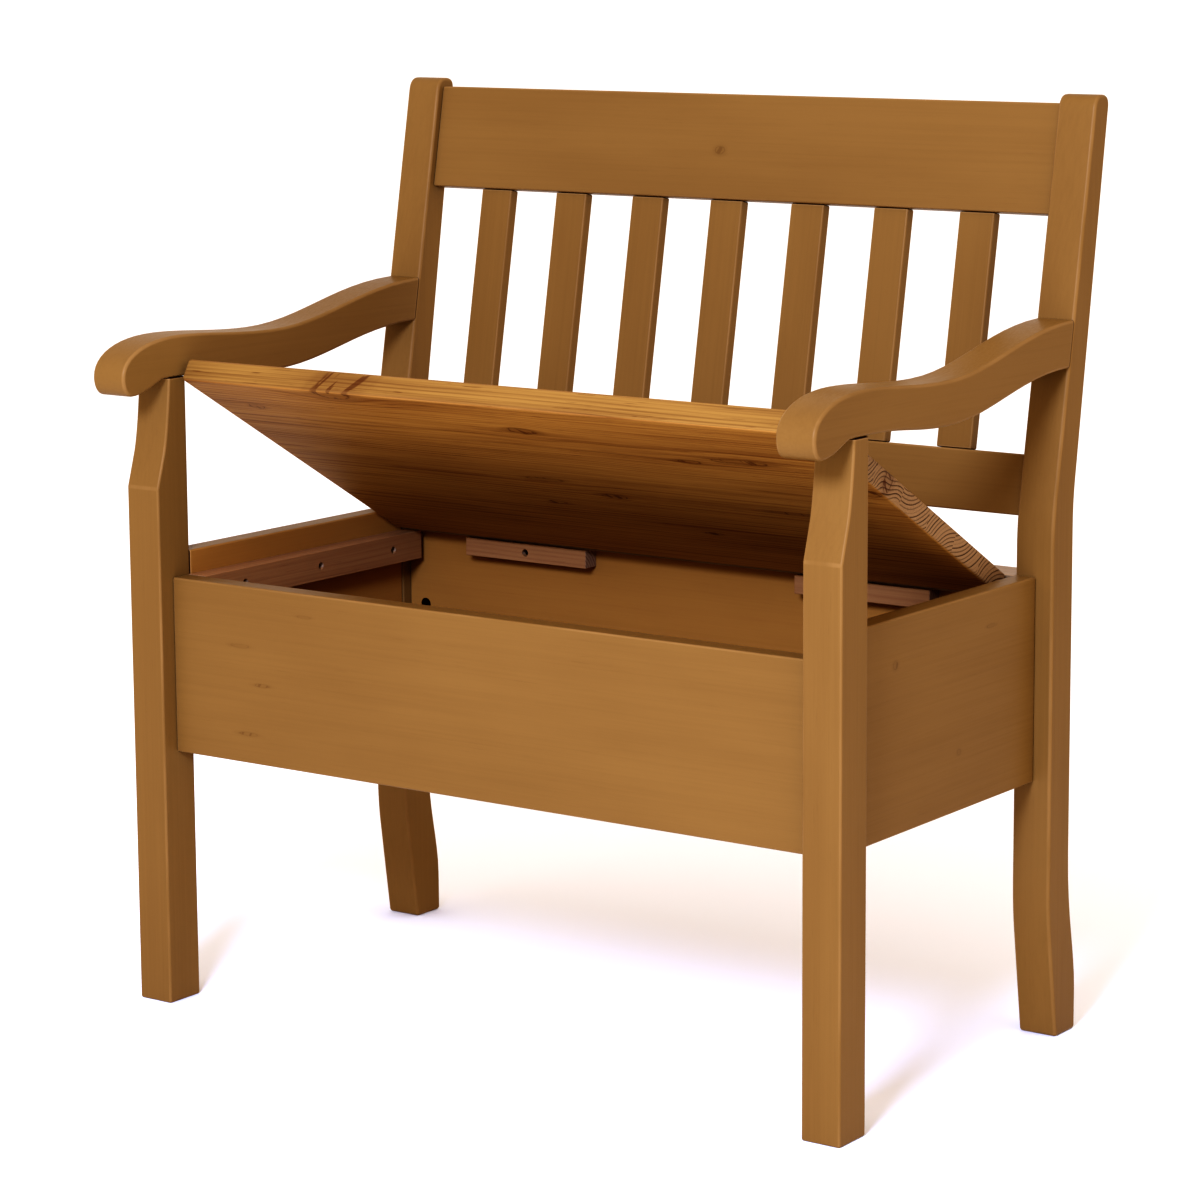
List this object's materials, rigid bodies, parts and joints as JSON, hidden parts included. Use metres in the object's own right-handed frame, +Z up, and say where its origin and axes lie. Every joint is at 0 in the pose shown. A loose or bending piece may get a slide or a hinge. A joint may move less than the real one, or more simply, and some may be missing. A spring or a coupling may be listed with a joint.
{
  "type": "storage bench",
  "caption": "Two-seat wooden storage bench with raked slatted back, curved armrests, sabre back legs and a hinged seat lid over a shallow chest",
  "frame": {"origin": "under the middle of the bench, on the floor, at the bottom centre of the bounding box", "axes": "+X along the seat to the right as seen from the front, +Y to the back, +Z up"},
  "size_m": [0.88, 0.5484, 0.96],
  "materials": {
    "stained_pine": "satin ochre-brown stain, grain faintly showing",
    "honey_pine": "oiled, open grain with knots",
    "raw_pine": "planed, untreated",
    "steel": "zinc-plated"
  },
  "bodies": {
    "frame": {"armrest_left": "stained_pine", "armrest_right": "stained_pine", "back_block_left": "raw_pine", "back_block_right": "raw_pine", "back_block_screw_left": "steel", "back_block_screw_right": "steel", "back_board": "stained_pine", "back_lower_rail": "stained_pine", "back_post_left": "stained_pine", "back_post_right": "stained_pine", "back_slat_1": "stained_pine", "back_slat_2": "stained_pine", "back_slat_3": "stained_pine", "back_slat_4": "stained_pine", "back_slat_5": "stained_pine", "back_slat_6": "stained_pine", "back_slat_7": "stained_pine", "back_top_rail": "stained_pine", "bottom_board": "raw_pine", "bottom_cleat_back": "raw_pine", "bottom_cleat_front": "raw_pine", "corner_bolt_left": "steel", "corner_bolt_right": "steel", "corner_cam_left": "steel", "corner_cam_right": "steel", "front_board": "stained_pine", "front_leg_left": "stained_pine", "front_leg_right": "stained_pine", "hinge_left_fixed_leaf": "steel", "hinge_left_fixed_screw_1": "steel", "hinge_left_fixed_screw_2": "steel", "hinge_left_pin": "steel", "hinge_right_fixed_leaf": "steel", "hinge_right_fixed_screw_1": "steel", "hinge_right_fixed_screw_2": "steel", "hinge_right_pin": "steel", "rear_seat_strip": "honey_pine", "side_board_left": "stained_pine", "side_board_right": "stained_pine", "side_cleat_left": "raw_pine", "side_cleat_right": "raw_pine", "side_cleat_screw_left_1": "steel", "side_cleat_screw_left_2": "steel", "side_cleat_screw_left_3": "steel", "side_cleat_screw_right_1": "steel", "side_cleat_screw_right_2": "steel", "side_cleat_screw_right_3": "steel"},
    "lid": {"hinge_left_moving_leaf": "steel", "hinge_left_moving_screw_1": "steel", "hinge_left_moving_screw_2": "steel", "hinge_right_moving_leaf": "steel", "hinge_right_moving_screw_1": "steel", "hinge_right_moving_screw_2": "steel", "lid": "honey_pine"}
  },
  "joints": [
    {"name": "lid_hinge", "type": "hinge", "parent": "frame", "child": "lid", "pos_m": [0, 0.16632, 0.484], "axis": [-1, 0, 0], "range_deg": [-30.2, 70.3]}
  ]
}
